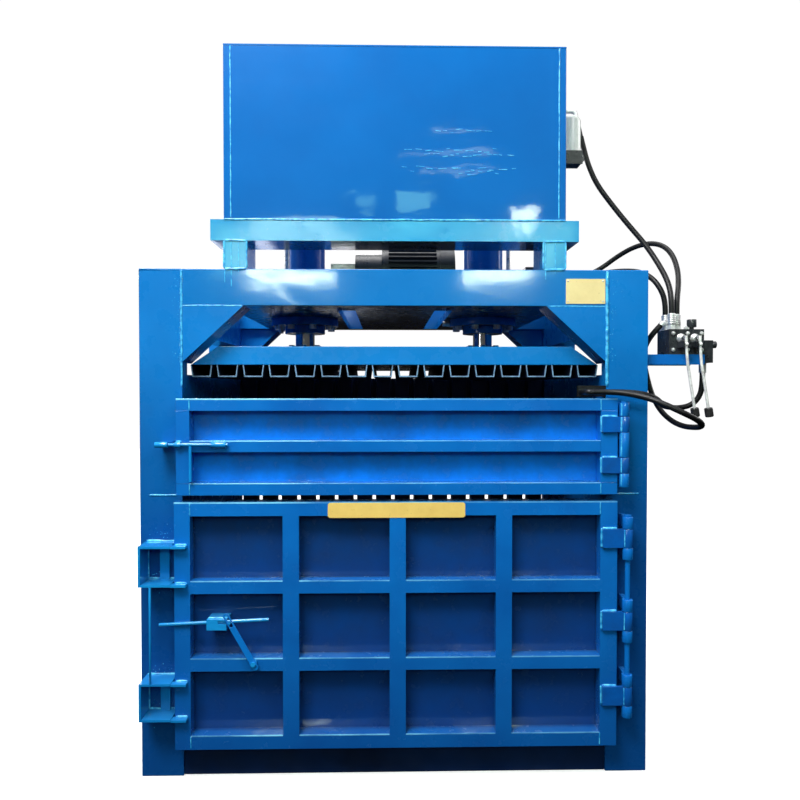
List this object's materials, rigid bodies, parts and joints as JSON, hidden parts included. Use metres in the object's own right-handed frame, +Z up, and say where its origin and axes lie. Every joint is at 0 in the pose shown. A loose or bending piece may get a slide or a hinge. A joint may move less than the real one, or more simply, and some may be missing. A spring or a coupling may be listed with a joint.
{
  "type": "recycling baler",
  "caption": "Upright hydraulic baling press: steel frame, ribbed feed and bale doors, channelled platen driven by hydraulic cylinders, oil tank on top and a hand-lever valve at the side.",
  "frame": {"origin": "on the floor at the centre of the base, on the underside of the middle bearer", "axes": "+X to the operator's right, +Y to the back, +Z up"},
  "size_m": [2.09, 1.2, 2.6143],
  "materials": {
    "blue_paint": "glossy blue enamel with runs, light wear and heavy weld beads",
    "dark_paint": "very dark blue paint, dusty at the floor",
    "zinc_steel": "zinc-plated steel, slightly dulled",
    "machined_steel": "machined steel with an oil film",
    "chromed_steel": "hard chrome",
    "cast_iron": "dark cast surface",
    "cast_aluminium": "die-cast aluminium, satin",
    "black_plastic": "black moulded plastic",
    "black_rubber": "black hose cover, matt, with fine wrap marks",
    "white_paint": "white enamel on a spun steel can",
    "motor_paint": "semi-gloss black paint on a finned casting",
    "yellow_plate": "blank yellow enamelled plate"
  },
  "bodies": {
    "frame": {"base_frame": "dark_paint", "floor_channels": "blue_paint", "corner_posts": "blue_paint", "top_beams": "blue_paint", "corner_gussets": "blue_paint", "side_walls": "blue_paint", "back_wall": "blue_paint", "cylinder_decks": "blue_paint", "cylinder_barrels": "blue_paint", "cylinder_flanges": "blue_paint", "rod_glands": "blue_paint", "flange_bolts": "zinc_steel", "hinge_brackets": "blue_paint", "hinge_pins": "zinc_steel", "latch_keepers": "blue_paint", "tank_stand": "blue_paint", "oil_tank": "blue_paint", "tank_lid": "blue_paint", "filter_head": "cast_iron", "filter_canister": "white_paint", "motor_plate": "blue_paint", "motor_housing": "motor_paint", "motor_covers": "motor_paint", "terminal_box": "motor_paint", "bell_housing": "cast_iron", "pump_housing": "cast_aluminium", "valve_shelf": "blue_paint", "valve_block": "cast_iron", "hose_fittings": "zinc_steel", "steel_pipes": "zinc_steel", "rating_plate": "yellow_plate", "return_hose": "black_rubber", "pump_hose": "black_rubber", "lift_hose": "black_rubber", "press_hose": "black_rubber", "drain_hose": "black_rubber"},
    "platen": {"platen_shell": "blue_paint", "platen_channels": "blue_paint", "pistons": "machined_steel", "piston_rods": "chromed_steel", "rod_flanges": "blue_paint"},
    "feed_door": {"upper_door": "blue_paint", "upper_door_fittings": "blue_paint"},
    "bale_door": {"lower_door": "blue_paint", "lower_door_fittings": "blue_paint"},
    "feed_bolt": {"upper_bolt": "zinc_steel"},
    "bale_bolt": {"lower_bolt": "zinc_steel"},
    "bolt_lever": {"bolt_lever": "blue_paint"},
    "left_lever": {"left_hand_lever": "chromed_steel", "left_knob": "black_plastic"},
    "right_lever": {"right_hand_lever": "chromed_steel", "right_knob": "black_plastic"},
    "left_spool": {"left_spool": "chromed_steel"},
    "right_spool": {"right_spool": "chromed_steel"},
    "filler_cap": {"filler_cap": "black_plastic"},
    "motor_shaft": {"motor_rotor": "machined_steel", "shaft_coupling": "machined_steel", "pump_drive_gear": "machined_steel"},
    "driven_gear": {"pump_driven_gear": "machined_steel"}
  },
  "joints": [
    {"name": "press_stroke", "type": "slide", "parent": "frame", "child": "platen", "axis": [0, 0, -1], "range_m": [0, 0.75]},
    {"name": "feed_door_hinge", "type": "hinge", "parent": "frame", "child": "feed_door", "pos_m": [0.792, -0.566, 1.18], "axis": [0, 0, 1], "range_deg": [0, 110]},
    {"name": "bale_door_hinge", "type": "hinge", "parent": "frame", "child": "bale_door", "pos_m": [0.806, -0.566, 0.55], "axis": [0, 0, 1], "range_deg": [0, 160]},
    {"name": "feed_bolt_slide", "type": "slide", "parent": "feed_door", "child": "feed_bolt", "axis": [-1, 0, 0], "range_m": [0, 0.026]},
    {"name": "bale_bolt_slide", "type": "slide", "parent": "bale_door", "child": "bale_bolt", "axis": [-0.9991, 0, -0.0426], "range_m": [0, 0.036]},
    {"name": "bolt_lever_turn", "type": "hinge", "parent": "bale_door", "child": "bolt_lever", "pos_m": [-0.489, -0.583, 0.432], "axis": [0, -1, 0], "range_deg": [-0.2, 10.4]},
    {"name": "left_lever_turn", "type": "hinge", "parent": "frame", "child": "left_lever", "pos_m": [1.036, -0.5, 1.533], "axis": [1, 0, 0], "range_deg": [-18, 18], "stiffness_Nm_per_rad": 6},
    {"name": "right_lever_turn", "type": "hinge", "parent": "frame", "child": "right_lever", "pos_m": [1.086, -0.5, 1.533], "axis": [1, 0, 0], "range_deg": [-18, 18], "stiffness_Nm_per_rad": 6},
    {"name": "left_spool_slide", "type": "slide", "parent": "frame", "child": "left_spool", "axis": [0, 1, 0], "range_m": [-0.009, 0.009]},
    {"name": "right_spool_slide", "type": "slide", "parent": "frame", "child": "right_spool", "axis": [0, 1, 0], "range_m": [-0.009, 0.009]},
    {"name": "filler_cap_twist", "type": "hinge", "parent": "frame", "child": "filler_cap", "pos_m": [-0.3, -0.376, 2.6], "axis": [0, 0, 1], "range_deg": [0, 90]},
    {"name": "motor_shaft_turn", "type": "hinge", "parent": "frame", "child": "motor_shaft", "pos_m": [0, -0.2, 1.821], "axis": [1, 0, 0], "continuous": true},
    {"name": "driven_gear_turn", "type": "hinge", "parent": "frame", "child": "driven_gear", "pos_m": [-0.2, -0.2, 1.789], "axis": [1, 0, 0], "continuous": true}
  ],
  "couplings": [
    {"joint": "bolt_lever_turn", "follows": "bale_bolt_slide", "rad_per_m": 4.911},
    {"joint": "left_spool_slide", "follows": "left_lever_turn", "m_per_rad": -0.025},
    {"joint": "right_spool_slide", "follows": "right_lever_turn", "m_per_rad": -0.025},
    {"joint": "driven_gear_turn", "follows": "motor_shaft_turn", "ratio": -1}
  ]
}
